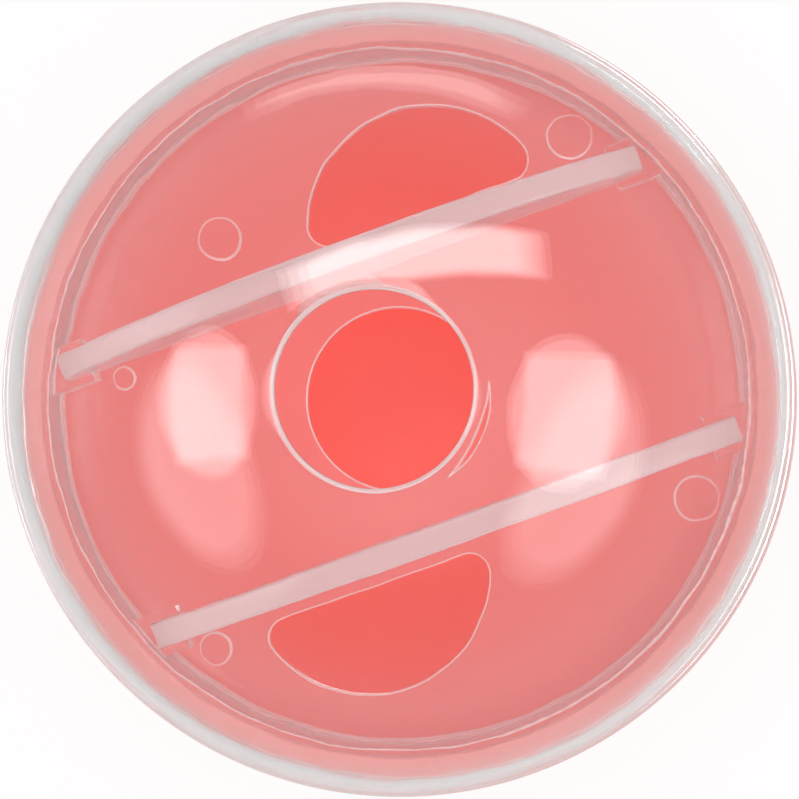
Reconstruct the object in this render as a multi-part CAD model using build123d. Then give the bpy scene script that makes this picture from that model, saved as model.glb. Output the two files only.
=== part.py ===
# Treat dispensing ball. Millimetres, +Z up through the treat hole, +X along the divider walls.
# The origin is the lowest point of the bowl, where the ball touches the floor.
import os
from math import acos, asin, cos, degrees, radians, sin, sqrt

from build123d import *

# Shells
BALL_RADIUS = 50.8        # outside of both halves
DOME_WALL = 2.0           # clear half, even thickness
BOWL_FLOOR = 2.6          # coral half at its lowest point, thicker towards the neck
HOLE_RADIUS = 11.0        # treat hole at the top of the dome
HOLE_ROUND = 0.5          # rounded edges of the treat hole
SEAM_GAP = 0.3            # groove left between the halves when closed
SEAM_ROUND = 0.4          # rounded edges either side of that groove

# Screw closure
SKIRT_WALL = 2.0          # dome wall outside the thread
NECK_HEIGHT = 8.0         # bowl neck above the seam
NECK_WALL = 2.6
THREAD_STARTS = 3
THREAD_LEAD = 12.0        # rise of the dome in one turn
THREAD_DEPTH = 0.75       # radial height of a ridge
THREAD_BASE = 2.2         # ridge width where it leaves the wall
THREAD_CREST = 1.2
THREAD_SWEEP = 150.0      # degrees that one ridge runs round the neck
THREAD_START = 1.5        # middle of a bowl ridge above the seam where it begins
CAP_SWEEP = 120.0         # degrees that one ridge runs round inside the dome
CAP_START = 1.9
THREAD_GAP = 0.25         # radial clearance over the crests
THREAD_ROOT = 0.3         # how far a ridge is sunk into its wall
NECK_ROUND = 0.3          # rounded top edges of the neck

# Divider tray
TRAY_CLEARANCE = 0.3      # tray rim to the inside of the neck
RIM_WALL = 0.9
FLANGE_THICKNESS = 1.0
FLANGE_CLEARANCE = 0.2    # flange to the inside of the dome, which curves in above it and holds it down
SHOULDER_GAP = 0.1        # top of the dome's threaded bore above the flange when closed
TRAY_DEPTH = 6.5          # flange top down to the disc
DISC_THICKNESS = 1.8
RIM_FILLET = 0.6
TRAY_ROUND = 0.3          # rounded outer edges of the tray
CENTRE_HOLE_RADIUS = 11.7
MOON_RADIUS = 15.7        # round side of a half-moon hole
MOON_OFFSET = 11.3        # half-moon centre along the wall
MOON_BACKSET = 2.1        # its centre behind the straight side
MOON_GAP = 1.9            # wall face to the straight side
MOON_ROUND = 2.5
HOLE_EDGE = 0.3           # rounded edges of the divider's three holes

# Divider walls
LANE_WIDTH = 33.0         # between the two walls
PLATE_THICKNESS = 3.2
PLATE_MID_HEIGHT = 18.0   # above the disc
PLATE_END_HEIGHT = 5.5
PLATE_ROUND = 0.5
PLATE_FIT = 0.12          # wall to groove and pocket
PLATE_END_GAP = 0.3
GROOVE_DEPTH = 0.6
EAR_LENGTH = 3.5          # pocket ears at the wall ends
EAR_WALL = 1.1
EAR_HEIGHT = 4.5

# Round moulding marks on the disc: angle from +X, distance in from the rim, radius
PAD_HEIGHT = 0.35
PAD_EDGE = 0.3            # sloped edge of a mark
PADS = [(118.3, 13.0, 2.9), (37.0, 3.8, 3.0), (-38.2, 3.9, 3.0), (155.8, 8.4, 1.6), (214.0, 4.2, 2.2)]

SEAM = BALL_RADIUS
BORE = BALL_RADIUS - SKIRT_WALL
NECK_OUTER = BORE - THREAD_GAP - THREAD_DEPTH
NECK_INNER = NECK_OUTER - NECK_WALL
NECK_TOP = SEAM + NECK_HEIGHT
FLANGE_TOP = NECK_TOP + FLANGE_THICKNESS
SHOULDER = FLANGE_TOP + SHOULDER_GAP
DOME_INNER = BALL_RADIUS - DOME_WALL
FLANGE_OUTER = min(BORE - THREAD_DEPTH, sqrt(DOME_INNER ** 2 - (FLANGE_TOP - SEAM) ** 2)) - FLANGE_CLEARANCE
RIM_OUTER = NECK_INNER - TRAY_CLEARANCE
RIM_INNER = RIM_OUTER - RIM_WALL
DISC_TOP = FLANGE_TOP - TRAY_DEPTH
DISC_BOTTOM = DISC_TOP - DISC_THICKNESS
PLATE_INNER_FACE = LANE_WIDTH / 2
PLATE_OUTER_FACE = PLATE_INNER_FACE + PLATE_THICKNESS
PLATE_MIDDLE = PLATE_INNER_FACE + PLATE_THICKNESS / 2
PLATE_HALF = sqrt((RIM_INNER - PLATE_END_GAP) ** 2 - PLATE_OUTER_FACE ** 2)
PLATE_FOOT = DISC_TOP - GROOVE_DEPTH


def corner(face, point):
    """The corner of a flat profile nearest to a point."""
    return face.vertices().sort_by_distance(point)[0]


def turned(profile):
    """A profile drawn in radius and height, turned round the ball's axis."""
    return revolve(Plane.XZ * profile, Axis.Z)


def ridge(wall, outward, height, start, sweep_angle):
    """One helical thread ridge on a round wall, standing outward or inward."""
    side = 1 if outward else -1
    path = Helix(THREAD_LEAD, THREAD_LEAD * sweep_angle / 360, wall, center=(0, 0, height))
    half, tip = THREAD_BASE / 2, THREAD_CREST / 2
    # The flanks run on into the wall, so that no edge of the ridge lies on the wall's face.
    foot = half + THREAD_ROOT * (half - tip) / THREAD_DEPTH
    sunk, crest = -THREAD_ROOT * side, THREAD_DEPTH * side
    outline = Polyline((sunk, -foot), (crest, -tip), (crest, tip), (sunk, foot), close=True)
    section = Plane(path @ 0, x_dir=(1, 0, 0), z_dir=path % 0) * make_face(outline)
    return Rot(0, 0, start) * sweep(section, path, is_frenet=True)


def bowl_shell():
    # A smaller half sphere inside, running straight up into the neck, so that the mould core pulls out.
    inside = CenterArc((0, BOWL_FLOOR + NECK_INNER), NECK_INNER, 270, 90)
    outside = CenterArc((0, SEAM), BALL_RADIUS, 270, 90)
    edge = Polyline(outside @ 1, (NECK_OUTER, SEAM), (NECK_OUTER, NECK_TOP), (NECK_INNER, NECK_TOP), inside @ 1)
    profile = make_face([outside, edge, inside, Line(outside @ 0, inside @ 0)])
    profile = fillet(corner(profile, (BALL_RADIUS, SEAM)), SEAM_ROUND)
    profile = fillet([corner(profile, (NECK_OUTER, NECK_TOP)), corner(profile, (NECK_INNER, NECK_TOP))],
                     NECK_ROUND)
    shell = turned(profile)
    for start in range(THREAD_STARTS):
        shell += ridge(NECK_OUTER, True, SEAM + THREAD_START, start * 360 / THREAD_STARTS, THREAD_SWEEP)
    return shell


def dome_shell():
    lift = degrees(asin(SEAM_GAP / BALL_RADIUS))
    top = degrees(acos(HOLE_RADIUS / BALL_RADIUS))
    low = degrees(asin((SHOULDER - SEAM) / DOME_INNER))
    high = degrees(acos(HOLE_RADIUS / DOME_INNER))
    outside = CenterArc((0, SEAM), BALL_RADIUS, lift, top - lift)
    inside = CenterArc((0, SEAM), DOME_INNER, low, high - low)
    hole = Line(outside @ 1, inside @ 1)
    skirt = Polyline(outside @ 0, (BORE, SEAM + SEAM_GAP), (BORE, SHOULDER), inside @ 0)
    profile = make_face([outside, hole, inside, skirt])
    profile = fillet([corner(profile, outside @ 1), corner(profile, inside @ 1)], HOLE_ROUND)
    profile = fillet(corner(profile, (BALL_RADIUS, SEAM + SEAM_GAP)), SEAM_ROUND)
    shell = turned(profile)
    # The dome's ridges run half way between the bowl's ridges.
    offset = (CAP_START - THREAD_START) / THREAD_LEAD * 360 - 180 / THREAD_STARTS
    for start in range(THREAD_STARTS):
        angle = offset + start * 360 / THREAD_STARTS
        shell += ridge(BORE, False, SEAM + CAP_START, angle, CAP_SWEEP)
    return shell


def half_moon():
    straight = PLATE_OUTER_FACE + MOON_GAP
    shape = Pos(MOON_OFFSET, straight - MOON_BACKSET) * Circle(MOON_RADIUS)
    shape -= Pos(MOON_OFFSET, straight - MOON_RADIUS) * Rectangle(4 * MOON_RADIUS, 2 * MOON_RADIUS)
    shape = fillet(shape.vertices(), MOON_ROUND)
    return Pos(0, 0, DISC_BOTTOM) * extrude(shape, 2 * DISC_THICKNESS, both=True)


def divider_disc():
    profile = make_face(Polyline(
        (0, DISC_BOTTOM), (RIM_OUTER, DISC_BOTTOM), (RIM_OUTER, NECK_TOP), (FLANGE_OUTER, NECK_TOP),
        (FLANGE_OUTER, FLANGE_TOP), (RIM_INNER, FLANGE_TOP), (RIM_INNER, DISC_TOP), (0, DISC_TOP), close=True))
    profile = fillet(corner(profile, (RIM_INNER, DISC_TOP)), RIM_FILLET)
    profile = fillet([corner(profile, (FLANGE_OUTER, FLANGE_TOP)), corner(profile, (RIM_INNER, FLANGE_TOP)),
                      corner(profile, (RIM_OUTER, DISC_BOTTOM))], TRAY_ROUND)
    tray = turned(profile)
    tray -= Pos(0, 0, DISC_BOTTOM) * Cylinder(CENTRE_HOLE_RADIUS, 4 * DISC_THICKNESS)
    tray -= half_moon()
    tray -= Rot(0, 0, 180) * half_moon()
    disc_faces = tray.faces().filter_by(Plane.XY).filter_by_position(Axis.Z, DISC_BOTTOM, DISC_TOP)
    tray = fillet([edge for face in disc_faces for wire in face.inner_wires() for edge in wire.edges()], HOLE_EDGE)

    pocket = 2 * (EAR_WALL + PLATE_FIT) + PLATE_THICKNESS
    inside_rim = Pos(0, 0, DISC_TOP - GROOVE_DEPTH) * Cylinder(
        RIM_INNER + RIM_WALL / 2, EAR_HEIGHT + GROOVE_DEPTH, align=(Align.CENTER, Align.CENTER, Align.MIN))
    for end in (-1, 1):
        for side in (-1, 1):
            ear = Pos(end * (PLATE_HALF + EAR_LENGTH), side * PLATE_MIDDLE, DISC_TOP) * Box(
                4 * EAR_LENGTH, pocket, 2 * EAR_HEIGHT)
            tray += ear & inside_rim

    for angle, inset, radius in PADS:
        reach = RIM_INNER - inset
        pad = Cylinder(radius, DISC_THICKNESS / 2 + PAD_HEIGHT, align=(Align.CENTER, Align.CENTER, Align.MAX))
        pad = chamfer(pad.edges().group_by(Axis.Z)[-1], PAD_EDGE)
        tray += Pos(reach * cos(radians(angle)), reach * sin(radians(angle)), DISC_TOP + PAD_HEIGHT) * pad

    for side in (-1, 1):
        tray -= Pos(0, side * PLATE_MIDDLE, PLATE_FOOT) * Box(
            2 * (PLATE_HALF + PLATE_FIT), PLATE_THICKNESS + 2 * PLATE_FIT, 2 * PLATE_MID_HEIGHT,
            align=(Align.CENTER, Align.CENTER, Align.MIN))
    return tray


def baffle_plate(side):
    end, middle = DISC_TOP + PLATE_END_HEIGHT, DISC_TOP + PLATE_MID_HEIGHT
    arch = ThreePointArc((PLATE_HALF, end), (0, middle), (-PLATE_HALF, end))
    feet = Polyline((-PLATE_HALF, end), (-PLATE_HALF, PLATE_FOOT), (PLATE_HALF, PLATE_FOOT), (PLATE_HALF, end))
    blank = extrude(Plane.XZ * make_face([arch, feet]), PLATE_THICKNESS / 2, both=True)
    top = blank.edges().filter_by(GeomType.CIRCLE)
    return Pos(0, side * PLATE_MIDDLE, 0) * fillet(top, PLATE_ROUND)


NODES = {
    "bowl_shell": bowl_shell(),
    "dome_shell": dome_shell(),
    "divider_disc": divider_disc(),
    "baffle_plate_front": baffle_plate(-1),
    "baffle_plate_back": baffle_plate(1),
}

os.makedirs("parts", exist_ok=True)
for name, shape in NODES.items():
    export_step(shape, f"parts/{name}.step")
    box = shape.bounding_box()
    print(name, len(shape.solids()), round(shape.volume / 1000, 3), "cm3", box.min, box.max)
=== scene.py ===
from math import asin, atan2, cos, degrees, pi, radians, sin, sqrt, tan

import bpy
from mathutils import Matrix, Vector


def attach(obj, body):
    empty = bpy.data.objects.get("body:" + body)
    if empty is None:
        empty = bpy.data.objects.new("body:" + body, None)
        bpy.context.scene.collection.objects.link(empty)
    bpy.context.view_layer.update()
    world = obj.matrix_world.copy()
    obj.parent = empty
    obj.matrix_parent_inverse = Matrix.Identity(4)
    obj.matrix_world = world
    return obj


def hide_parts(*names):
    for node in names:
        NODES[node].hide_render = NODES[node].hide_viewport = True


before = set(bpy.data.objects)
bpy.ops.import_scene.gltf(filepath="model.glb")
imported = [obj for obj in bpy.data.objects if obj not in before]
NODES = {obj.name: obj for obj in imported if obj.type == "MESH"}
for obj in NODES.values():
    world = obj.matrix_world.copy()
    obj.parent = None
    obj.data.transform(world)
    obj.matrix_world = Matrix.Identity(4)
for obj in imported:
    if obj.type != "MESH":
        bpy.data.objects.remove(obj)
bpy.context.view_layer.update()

# Sizes in millimetres, as the part has them.
R = 50.8
SEAM = 50.8
SEAM_GAP = 0.3
SEAM_ROUND = 0.4
DOME_IN = 48.8
HOLE = 11.0
HOLE_ROUND = 0.5
BORE = 48.8
SHOULDER = SEAM + 9.1
BOWL_FLOOR = 2.6
NECK_OUT = 47.8
NECK_IN = 45.2
NECK_TOP = SEAM + 8.0
NECK_ROUND = 0.3
WALL_FOOT = SEAM + 1.9
WALL_END = SEAM + 8.0
WALL_MIDDLE = SEAM + 20.5
WALL_HALF = 39.0
WALL_ROUND = 0.5
WALL_FACES = (16.5, 19.7)
HOLES_REACH = 34.0
TRAY_IN = 44.0
TRAY_FOOT = 0.65

# The thread. A ridge's low end is this far above the seam, and its sweep is in degrees.
LEAD = 12.0
STARTS = 3
RIDGE_HEIGHT = 0.75
RIDGE_BASE = 2.2
RIDGE_CREST = 1.2
BOWL_RIDGE_LOW = 1.5
BOWL_RIDGE_SWEEP = 150
DOME_RIDGE_LOW = 1.9
DOME_RIDGE_SWEEP = 120

# Forms that only this script has: a hair's gap where clear faces touch, ridges that run out to
# points over some degrees, and the gate well under the bowl with the clipped gate in its middle.
CONTACT = 0.05
RUN_OUT = 9.0
WELL = 4.0
WELL_SLOPE = 0.3
WELL_HEIGHT = 0.24
GATE = 0.7
GATE_SLOPE = 0.15
GATE_HEIGHT = 0.16

# Fineness of the meshes: steps are in degrees, and points are along a straight stretch.
SEGMENTS = 256
SPHERE_STEP = 1.4
SEAM_STEP = 15
HOLE_STEP = 12
NECK_STEP = 22
FLAT_POINTS = 3
BORE_POINTS = 62
NECK_POINTS = 56
NECK_IN_POINTS = 10
WALL_STATIONS = 96
WALL_CORNER = 5
SHARP_ANGLE = 38
SAME_POINT = 1e-6

# Which way a thread stands off its wall.
INWARD, OUTWARD = -1, 1


def metres(*sizes):
    return tuple(size / 1000 for size in sizes)


def mesh_object(name, verts, faces):
    mesh = bpy.data.meshes.new(name)
    mesh.from_pydata(verts, [], faces)
    mesh.update()
    mesh.shade_smooth()
    mesh.set_sharp_from_angle(angle=radians(SHARP_ANGLE))
    obj = bpy.data.objects.new(name, mesh)
    bpy.context.scene.collection.objects.link(obj)
    return obj


def arc(centre, radius, start, end, step):
    """Points along a round stretch of a profile, in radius and height, with no thread on them."""
    count = max(2, int(abs(end - start) / step) + 1)
    turns = [radians(start + (end - start) * k / count) for k in range(count + 1)]
    return [(centre[0] + radius * cos(a), centre[1] + radius * sin(a), 0) for a in turns]


def run(a, b, count, thread=0):
    """Points along a straight stretch of a profile, marked with the way a thread stands on it."""
    return [
        (a[0] + (b[0] - a[0]) * k / count, a[1] + (b[1] - a[1]) * k / count, thread)
        for k in range(count + 1)
    ]


def ridge_height(theta, z, first, low, sweep):
    """How far the thread stands off its wall there. Each ridge runs out to a point at both ends."""
    flank = (RIDGE_BASE - RIDGE_CREST) / 2
    best = 0.0
    for k in range(STARTS):
        along = (theta - first - k * 360 / STARTS) % 360
        if along > sweep:
            continue
        half = RIDGE_BASE / 2 * min(1.0, along / RUN_OUT, (sweep - along) / RUN_OUT)
        off = abs(z - low - LEAD * along / 360)
        best = max(best, RIDGE_HEIGHT * min(1.0, max(0.0, (half - off) / flank)))
    return best


def apart(a, b):
    return abs(a[0] - b[0]) + abs(a[1] - b[1]) > SAME_POINT


def lathe(name, profile, thread, closed):
    """Turns a profile round the ball's axis. The ridges push its marked points in or out."""
    points = [profile[0]]
    for p in profile[1:]:
        if apart(p, points[-1]):
            points.append(p)
    if closed and not apart(points[0], points[-1]):
        points.pop()
    verts, rings = [], []
    for r, z, side in points:
        if r < SAME_POINT:
            rings.append([len(verts)])
            verts.append(metres(0, 0, z))
            continue
        ring = []
        for k in range(SEGMENTS):
            theta = 360 * k / SEGMENTS
            reach = r + side * ridge_height(theta, z, *thread) if side else r
            ring.append(len(verts))
            verts.append(metres(reach * cos(radians(theta)), reach * sin(radians(theta)), z))
        rings.append(ring)
    faces = []
    pairs = list(zip(rings, rings[1:])) + ([(rings[-1], rings[0])] if closed else [])
    for a, b in pairs:
        for k in range(SEGMENTS):
            n = (k + 1) % SEGMENTS
            if len(a) == 1:
                faces.append((a[0], b[n], b[k]))
            elif len(b) == 1:
                faces.append((a[k], a[n], b[0]))
            else:
                faces.append((a[k], a[n], b[n], b[k]))
    return mesh_object(name, verts, faces)


def dome_profile():
    """The clear half: up its outside, through the treat hole, down its inside and the bore."""
    edge = R - SEAM_ROUND
    low = SEAM + SEAM_GAP
    middle = HOLE + HOLE_ROUND
    out_c = (middle, SEAM + sqrt((R - HOLE_ROUND) ** 2 - middle ** 2))
    in_c = (middle, SEAM + sqrt((DOME_IN + HOLE_ROUND) ** 2 - middle ** 2))
    top = degrees(atan2(out_c[1] - SEAM, out_c[0]))
    under = degrees(atan2(in_c[1] - SEAM, in_c[0]))
    base = degrees(asin((SHOULDER - SEAM) / DOME_IN))
    foot = degrees(asin((SEAM_GAP + SEAM_ROUND) / R))
    line = arc((edge, low + SEAM_ROUND), SEAM_ROUND, -90, 0, SEAM_STEP)
    line += arc((0, SEAM), R, foot, top, SPHERE_STEP)
    line += arc(out_c, HOLE_ROUND, top, 180, HOLE_STEP)
    line += arc(in_c, HOLE_ROUND, 180, 180 + under, HOLE_STEP)
    line += arc((0, SEAM), DOME_IN, under, base, SPHERE_STEP)
    line += run((DOME_IN * cos(radians(base)), SHOULDER), (BORE, SHOULDER), FLAT_POINTS)
    line += run((BORE, SHOULDER), (BORE, low), BORE_POINTS, INWARD)
    line += run((BORE, low), (edge, low), FLAT_POINTS)
    return line


def bowl_profile():
    """The coral half: out of the gate well, up its outside, over the neck and down its inside."""
    line = [(0, GATE_HEIGHT, 0), (GATE, GATE_HEIGHT, 0)]
    line += [(GATE + GATE_SLOPE, WELL_HEIGHT, 0), (WELL - WELL_SLOPE, WELL_HEIGHT, 0)]
    bottom = -90 + degrees(asin(WELL / R))
    edge = -degrees(asin(SEAM_ROUND / R))
    lip = NECK_TOP - CONTACT - NECK_ROUND
    hollow = BOWL_FLOOR + NECK_IN
    line += arc((0, SEAM), R, bottom, edge, SPHERE_STEP)
    line += arc((R - SEAM_ROUND, SEAM - SEAM_ROUND), SEAM_ROUND, 0, 90, SEAM_STEP)
    line += run((R - SEAM_ROUND, SEAM), (NECK_OUT, SEAM), FLAT_POINTS)
    line += run((NECK_OUT, SEAM), (NECK_OUT, lip), NECK_POINTS, OUTWARD)
    line += arc((NECK_OUT - NECK_ROUND, lip), NECK_ROUND, 0, 90, NECK_STEP)
    line += arc((NECK_IN + NECK_ROUND, lip), NECK_ROUND, 90, 180, NECK_STEP)
    line += run((NECK_IN, lip), (NECK_IN, hollow), NECK_IN_POINTS)
    line += arc((0, hollow), NECK_IN, 0, -90, SPHERE_STEP)[:-1]
    line.append((0, BOWL_FLOOR, 0))
    return line


def arched_wall(name, side):
    """One divider wall: a flat plate with an arched top whose edges are rounded."""
    rise = WALL_MIDDLE - WALL_END
    bow = (WALL_HALF ** 2 + rise ** 2) / (2 * rise)
    reach = asin(WALL_HALF / bow)
    inner, outer = WALL_FACES
    middle, half = side * (inner + outer) / 2, (outer - inner) / 2
    foot = WALL_FOOT + CONTACT
    verts, faces = [], []
    for k in range(WALL_STATIONS + 1):
        slope = reach * (2 * k / WALL_STATIONS - 1)
        x, top = bow * sin(slope), WALL_MIDDLE - bow * (1 - cos(slope))
        section = [(half, foot)]
        for j in range(WALL_CORNER + 1):
            a = radians(90 * j / WALL_CORNER)
            y = half - WALL_ROUND * (1 - cos(a))
            section.append((y, top - WALL_ROUND * (1 - sin(a)) / cos(slope)))
        section += [(-y, z) for y, z in reversed(section)]
        verts += [metres(x, middle + y, z) for y, z in section]
    count = len(section)
    for k in range(WALL_STATIONS):
        here, following = k * count, (k + 1) * count
        for j in range(count):
            n = (j + 1) % count
            faces.append((here + j, here + n, following + n, following + j))
    faces.append(tuple(reversed(range(count))))
    faces.append(tuple(WALL_STATIONS * count + j for j in range(count)))
    return mesh_object(name, verts, faces)


# The dome's ridges run halfway between the bowl's.
BETWEEN = (DOME_RIDGE_LOW - BOWL_RIDGE_LOW) / LEAD * 360 - 180 / STARTS
DOME_THREAD = (BETWEEN, SEAM + DOME_RIDGE_LOW, DOME_RIDGE_SWEEP)
BOWL_THREAD = (0, SEAM + BOWL_RIDGE_LOW, BOWL_RIDGE_SWEEP)
dome = lathe("dome_clear_shell", dome_profile(), DOME_THREAD, True)
bowl = lathe("bowl_coral_shell", bowl_profile(), BOWL_THREAD, False)

# How deep the waves and grain of a moulded surface are, in metres.
BUMP_DEPTH = 0.0002

# The coral's two shades, and its polish: full outside, gone a little way into the wall.
CORAL_DEEP = (0.90, 0.115, 0.085, 1)
CORAL_PALE = (0.95, 0.150, 0.115, 1)
POLISH_FULL = R - 0.3
POLISH_GONE = R - 0.9


def material(name):
    m = bpy.data.materials.new(name)
    m.use_nodes = True
    m.node_tree.nodes.clear()
    return m, m.node_tree.nodes, m.node_tree.links


def noise(nodes, links, scale, detail=2.0, rough=0.5):
    coords = nodes.new("ShaderNodeTexCoord")
    n = nodes.new("ShaderNodeTexNoise")
    n.inputs["Scale"].default_value = scale
    n.inputs["Detail"].default_value = detail
    n.inputs["Roughness"].default_value = rough
    links.new(coords.outputs["Object"], n.inputs["Vector"])
    return n.outputs["Fac"]


def fade(nodes, links, value, start, end, low, high):
    """A value that goes evenly from low, where the given one is at its start, to high."""
    m = nodes.new("ShaderNodeMapRange")
    m.inputs["From Min"].default_value = start
    m.inputs["From Max"].default_value = end
    m.inputs["To Min"].default_value = low
    m.inputs["To Max"].default_value = high
    links.new(value, m.inputs["Value"])
    return m.outputs["Result"]


def math_node(nodes, links, operation, first, second):
    m = nodes.new("ShaderNodeMath")
    m.operation = operation
    links.new(first, m.inputs[0])
    links.new(second, m.inputs[1])
    return m.outputs["Value"]


def bumps(nodes, links, height, strength, shader):
    bump = nodes.new("ShaderNodeBump")
    bump.inputs["Strength"].default_value = strength
    bump.inputs["Distance"].default_value = BUMP_DEPTH
    links.new(height, bump.inputs["Height"])
    links.new(bump.outputs["Normal"], shader.inputs["Normal"])


def clear_plastic(name, tint, transmission, roughness, ior, wave, wave_scale, shade):
    """Clear moulded plastic whose surface waves a little.

    Light on its way to a lit surface goes straight through it, and is dimmed by the shade.
    """
    m, nodes, links = material(name)
    p = nodes.new("ShaderNodeBsdfPrincipled")
    p.inputs["Base Color"].default_value = (*tint, 1)
    p.inputs["Roughness"].default_value = roughness
    p.inputs["IOR"].default_value = ior
    p.inputs["Transmission Weight"].default_value = transmission
    bumps(nodes, links, noise(nodes, links, wave_scale), strength=wave, shader=p)
    through = nodes.new("ShaderNodeBsdfTransparent")
    through.inputs["Color"].default_value = (*shade, 1)
    path = nodes.new("ShaderNodeLightPath")
    shadow, diffuse = path.outputs["Is Shadow Ray"], path.outputs["Is Diffuse Ray"]
    mix = nodes.new("ShaderNodeMixShader")
    links.new(math_node(nodes, links, "MAXIMUM", shadow, diffuse), mix.inputs["Fac"])
    links.new(p.outputs["BSDF"], mix.inputs[1])
    links.new(through.outputs["BSDF"], mix.inputs[2])
    out = nodes.new("ShaderNodeOutputMaterial")
    links.new(mix.outputs["Shader"], out.inputs["Surface"])
    return m


def coral_plastic():
    """Coral moulded plastic, polished outside the ball and duller inside, where the core was."""
    m, nodes, links = material("coral gloss plastic")
    p = nodes.new("ShaderNodeBsdfPrincipled")
    colour = nodes.new("ShaderNodeMix")
    colour.data_type = "RGBA"
    colour.inputs["A"].default_value = CORAL_DEEP
    colour.inputs["B"].default_value = CORAL_PALE
    links.new(noise(nodes, links, scale=45.0, detail=3.0), colour.inputs["Factor"])
    links.new(colour.outputs["Result"], p.inputs["Base Color"])
    coords = nodes.new("ShaderNodeTexCoord")
    reach = nodes.new("ShaderNodeVectorMath")
    reach.operation = "DISTANCE"
    reach.inputs[1].default_value = metres(0, 0, SEAM)
    links.new(coords.outputs["Object"], reach.inputs[0])
    grain = noise(nodes, links, scale=220.0, detail=4.0, rough=0.6)
    dull = fade(nodes, links, grain, start=0.0, end=1.0, low=0.30, high=0.40)
    start, end = metres(POLISH_GONE, POLISH_FULL)
    outside = fade(nodes, links, reach.outputs["Value"], start, end, low=1.0, high=0.5)
    links.new(math_node(nodes, links, "MULTIPLY", dull, outside), p.inputs["Roughness"])
    p.inputs["IOR"].default_value = 1.5
    bumps(nodes, links, noise(nodes, links, scale=900.0), strength=0.06, shader=p)
    out = nodes.new("ShaderNodeOutputMaterial")
    links.new(p.outputs["BSDF"], out.inputs["Surface"])
    return m


def give(obj, mat):
    obj.data.materials.clear()
    obj.data.materials.append(mat)


def frost_and_highlight(obj, mat, chosen):
    """Gives another material to the chosen faces of a moulding: frosted plastic, on some edges
    whitened as a painted highlight.
    """
    obj.data.materials.append(mat)
    for face in obj.data.polygons:
        if chosen(face):
            face.material_index = len(obj.data.materials) - 1


# Limits on the way a face looks: the share of its normal along the radius, then along the axis.
LOOKS_IN = 0.15
LOOKS_OUT = 0.9
UPRIGHT = 0.1
LEVEL = 0.97


def from_axis(face):
    """How far a face is from the ball's axis, in millimetres, and how far it looks away from it."""
    spot = Vector(face.center[:2])
    return spot.length * 1000, spot.normalized().dot(face.normal[:2])


def tray_wall(face):
    """The inside of the divider's rim, with its foot."""
    distance, outward = from_axis(face)
    return TRAY_IN - TRAY_FOOT < distance < TRAY_IN + CONTACT and outward < -LOOKS_IN


def tray_edge(face):
    """The divider's rounded edges and the sides of its holes, grooves and pockets."""
    distance, outward = from_axis(face)
    rim = distance > HOLES_REACH and abs(outward) > LOOKS_OUT and abs(face.normal.z) < UPRIGHT
    return abs(face.normal.z) < LEVEL and not rim


def treat_hole_edge(face):
    """The rounded edge of the treat hole."""
    return from_axis(face)[0] < HOLE + HOLE_ROUND


CLEAR = clear_plastic(
    "clear dome plastic", tint=(0.99, 0.99, 0.99), transmission=0.987, roughness=0.02, ior=1.5,
    wave=0.3, wave_scale=80.0, shade=(0.985, 0.985, 0.985))
HAZY = clear_plastic(
    "clear divider plastic", tint=(0.97, 0.965, 0.995), transmission=0.965, roughness=0.03, ior=1.5,
    wave=0.06, wave_scale=90.0, shade=(0.985, 0.98, 0.98))
FROST = clear_plastic(
    "frosted wall plastic", tint=(0.80, 0.78, 0.79), transmission=0.72, roughness=0.14, ior=1.32,
    wave=0.15, wave_scale=300.0, shade=(0.96, 0.95, 0.95))
# Frosted plastic for the divider's edges, whitened beyond the frost as a painted highlight along
# them.
EDGE_FROST_AND_HIGHLIGHT = clear_plastic(
    "frosted edge plastic with painted highlight", tint=(0.96, 0.94, 0.94), transmission=0.6, roughness=0.15, ior=1.5,
    wave=0.1, wave_scale=300.0, shade=(0.97, 0.96, 0.96))
# Frosted plastic for the treat hole's rounded edge, its pale grey tint a painted highlight on that
# edge.
RING_FROST_AND_HIGHLIGHT = clear_plastic(
    "frosted hole plastic with painted highlight", tint=(0.86, 0.82, 0.82), transmission=0.6, roughness=0.15, ior=1.45,
    wave=0.1, wave_scale=300.0, shade=(0.97, 0.96, 0.96))
CORAL = coral_plastic()

give(dome, CLEAR)
# The treat hole's edge gets frosted plastic with a painted highlight.
frost_and_highlight(dome, RING_FROST_AND_HIGHLIGHT, treat_hole_edge)
give(bowl, CORAL)
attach(dome, "dome")
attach(bowl, "bowl")
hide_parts("dome_shell")
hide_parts("bowl_shell")
give(NODES["divider_disc"], HAZY)
# The divider's edges get frosted plastic with a painted highlight.
frost_and_highlight(NODES["divider_disc"], EDGE_FROST_AND_HIGHLIGHT, tray_edge)
frost_and_highlight(NODES["divider_disc"], FROST, tray_wall)
for place, side in (("front", -1), ("back", 1)):
    wall = arched_wall(f"arched_wall_{place}", side)
    give(wall, FROST)
    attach(wall, "divider")
    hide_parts(f"baffle_plate_{place}")

# The camera is above the ball, leaning 3.6 degrees, with the walls rising to the right.
CENTRE = Vector(metres(0, 0, SEAM))
TURN_COS, TURN_SIN = 0.9409, 0.3386
LEAN_RIGHT, LEAN_UP, LEAN_BACK = 0.0583, -0.0237, 0.998
CAMERA_RADII = 6.5
right = Vector((TURN_COS, -TURN_SIN, 0))
up = Vector((TURN_SIN, TURN_COS, 0))
back = (LEAN_RIGHT * right + LEAN_UP * up + Vector((0, 0, LEAN_BACK))).normalized()
up = (up - up.dot(back) * back).normalized()
right = up.cross(back)
stand = CENTRE + back * CAMERA_RADII * R / 1000
cam_data = bpy.data.cameras.new("camera")
cam_data.sensor_width = 36
cam_data.lens = 115
cam_data.clip_start = 0.01
cam = bpy.data.objects.new("camera", cam_data)
cam.matrix_world = Matrix.Translation(stand) @ Matrix((right, up, back)).transposed().to_4x4()
bpy.context.scene.collection.objects.link(cam)
bpy.context.scene.camera = cam

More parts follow.
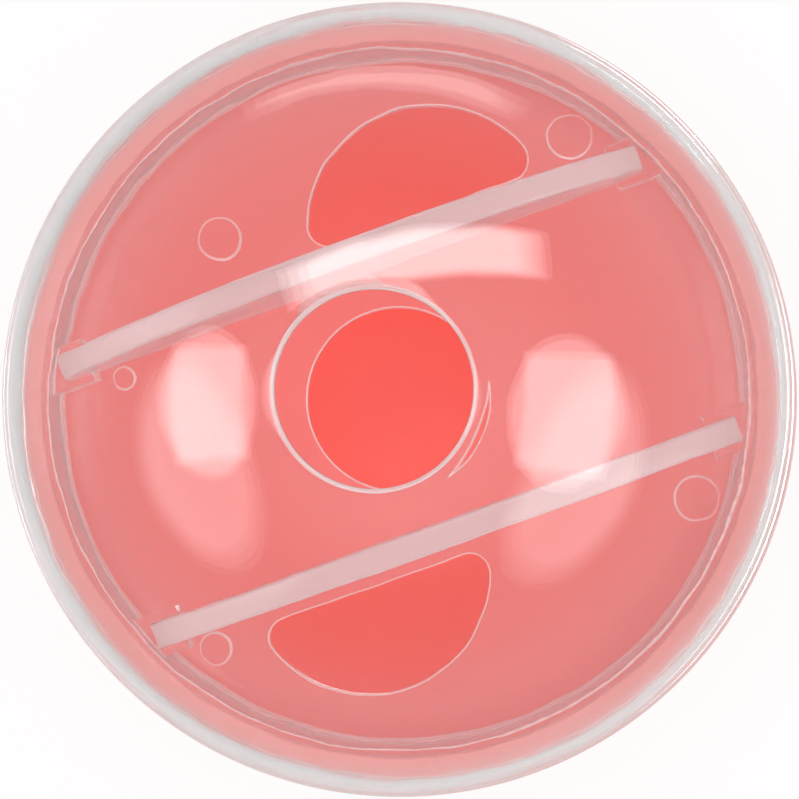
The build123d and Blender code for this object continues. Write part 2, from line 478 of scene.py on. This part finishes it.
# A softbox is made of this many flat lamps, one behind another by a step in metres. Their sizes
# differ by up to the fade, and the rounded ones reach a little further.
LAMP_LAYERS = 4
LAMP_STEP = 0.002
LAMP_FADE = 0.16
ROUNDED_REACH = 1.08


def softbox(name, lean, turn, width, height, radiance,
            shape="ROUNDED", roll=0, distance=0.6, shows=True):
    """A lamp that faces the ball, lean degrees off the view axis, turn degrees from picture right.

    Its width runs round the axis and its height towards it, both in degrees, unless it is rolled.
    Its lamps have several sizes, so that it fades towards its edge, and the larger half of them
    are ellipses where its shape is rounded.
    One that shows is only seen in gloss and glass, like a white card, and any other only lights.
    """
    outward = cos(radians(turn)) * right + sin(radians(turn)) * up
    way = cos(radians(lean)) * back + sin(radians(lean)) * outward
    across = Matrix.Rotation(radians(roll), 3, way) @ outward.cross(back).normalized()
    axes = Matrix((across, way.cross(across), way)).transposed().to_4x4()
    for k in range(LAMP_LAYERS):
        rounded = shape == "ROUNDED" and k >= LAMP_LAYERS / 2
        reach = 1 + LAMP_FADE * (2 * k / (LAMP_LAYERS - 1) - 1)
        if rounded:
            reach *= ROUNDED_REACH
        data = bpy.data.lights.new(f"{name} {k + 1}", "AREA")
        data.shape = "ELLIPSE" if rounded or shape == "ELLIPSE" else "RECTANGLE"
        data.size = 2 * distance * tan(radians(width / 2)) * reach
        data.size_y = 2 * distance * tan(radians(height / 2)) * reach
        area = data.size * data.size_y * (pi / 4 if data.shape == "ELLIPSE" else 1)
        data.energy = radiance * pi * area / LAMP_LAYERS
        lamp = bpy.data.objects.new(data.name, data)
        lamp.matrix_world = Matrix.Translation(CENTRE + way * (distance + LAMP_STEP * k)) @ axes
        lamp.visible_diffuse = not shows
        lamp.visible_glossy = shows
        lamp.visible_transmission = shows
        bpy.context.scene.collection.objects.link(lamp)


# The side and top lamps show as the patches on the dome, and the back card as the pale arc near
# its rim. The one overhead lights the bowl.
softbox("left softbox", lean=53, turn=181, width=30, height=24, radiance=4.2)
softbox("left softbox spill", lean=60, turn=198, width=48, height=32, radiance=1.7,
        shape="ELLIPSE")
softbox("right softbox", lean=46, turn=-5, width=32, height=29, radiance=4.1)
softbox("right softbox spill", lean=55, turn=-24, width=52, height=32, radiance=1.6,
        shape="ELLIPSE")
softbox("top softbox", lean=39, turn=84, width=62, height=13, radiance=5.4,
        shape="RECTANGLE", roll=16)
softbox("back card", lean=97, turn=92, width=46, height=9, radiance=1.4,
        shape="RECTANGLE", roll=-9, distance=0.33)
softbox("overhead softbox", lean=0, turn=0, width=56, height=56, radiance=1.3,
        shape="RECTANGLE", distance=0.8, shows=False)


def by_ray(nodes, links, light, mirrored, camera):
    """What the background is to lit surfaces, to mirrors and glass, and to the camera.

    Each is a number or a socket.
    """
    path = nodes.new("ShaderNodeLightPath")
    level = light
    values = (mirrored, mirrored, camera)
    for ray, value in zip(("Is Glossy Ray", "Is Transmission Ray", "Is Camera Ray"), values):
        mix = nodes.new("ShaderNodeMix")
        for side, source in (("A", level), ("B", value)):
            if isinstance(source, float):
                mix.inputs[side].default_value = source
            else:
                links.new(source, mix.inputs[side])
        links.new(path.outputs[ray], mix.inputs["Factor"])
        level = mix.outputs["Result"]
    return level


# Half the floor's side, in metres.
FLOOR_HALF = 3.0


def studio_floor():
    mesh = bpy.data.meshes.new("floor")
    s = FLOOR_HALF
    mesh.from_pydata([(-s, -s, 0), (s, -s, 0), (s, s, 0), (-s, s, 0)], [], [(0, 1, 2, 3)])
    floor = bpy.data.objects.new("floor", mesh)
    bpy.context.scene.collection.objects.link(floor)
    m, nodes, links = material("white floor")
    lit = nodes.new("ShaderNodeBsdfDiffuse")
    lit.inputs["Color"].default_value = (0.9, 0.9, 0.9, 1)
    glow = nodes.new("ShaderNodeEmission")
    # Mirrors and glass see a painted reflection on it: a pale painted glow close to the ball,
    # painted shade from the ball round that, and pale again far off.
    coords = nodes.new("ShaderNodeTexCoord")
    away = nodes.new("ShaderNodeVectorMath")
    away.operation = "LENGTH"
    links.new(coords.outputs["Object"], away.inputs[0])
    distance = away.outputs["Value"]
    close = fade(nodes, links, distance, start=0.09, end=0.13, low=0.55, high=0.0)
    far = fade(nodes, links, distance, start=0.12, end=0.6, low=0.1, high=0.7)
    mirrored = math_node(nodes, links, "MAXIMUM", close, far)
    strength = by_ray(nodes, links, light=0.0, mirrored=mirrored, camera=1.0)
    links.new(strength, glow.inputs["Strength"])
    # The camera sees some of the lit floor through the glow, which keeps the ball's shadow.
    mix = nodes.new("ShaderNodeMixShader")
    links.new(by_ray(nodes, links, light=0.0, mirrored=0.6, camera=0.85), mix.inputs["Fac"])
    links.new(lit.outputs["BSDF"], mix.inputs[1])
    links.new(glow.outputs["Emission"], mix.inputs[2])
    out = nodes.new("ShaderNodeOutputMaterial")
    links.new(mix.outputs["Shader"], out.inputs["Surface"])
    mesh.materials.append(m)


def studio_world():
    world = bpy.data.worlds.new("studio")
    world.use_nodes = True
    nodes, links = world.node_tree.nodes, world.node_tree.links
    nodes.clear()
    sky = nodes.new("ShaderNodeBackground")
    sky.inputs["Color"].default_value = (1, 1, 1, 1)
    # Mirrors and glass see it pale near the horizon and darker overhead.
    coords = nodes.new("ShaderNodeTexCoord")
    split = nodes.new("ShaderNodeSeparateXYZ")
    links.new(coords.outputs["Generated"], split.inputs["Vector"])
    mirrored = fade(nodes, links, split.outputs["Z"], start=0.0, end=0.5, low=0.75, high=0.42)
    strength = by_ray(nodes, links, light=0.85, mirrored=mirrored, camera=1.0)
    links.new(strength, sky.inputs["Strength"])
    out = nodes.new("ShaderNodeOutputWorld")
    links.new(sky.outputs["Background"], out.inputs["Surface"])
    bpy.context.scene.world = world


studio_floor()
studio_world()

BOUNCES = 24
CLEAR_BOUNCES = 16
scene = bpy.context.scene
scene.view_settings.view_transform = "Standard"
scene.cycles.max_bounces = BOUNCES
scene.cycles.transmission_bounces = BOUNCES
scene.cycles.glossy_bounces = BOUNCES
scene.cycles.transparent_max_bounces = CLEAR_BOUNCES
scene.cycles.caustics_reflective = False
scene.cycles.caustics_refractive = False
scene.cycles.use_denoising = True
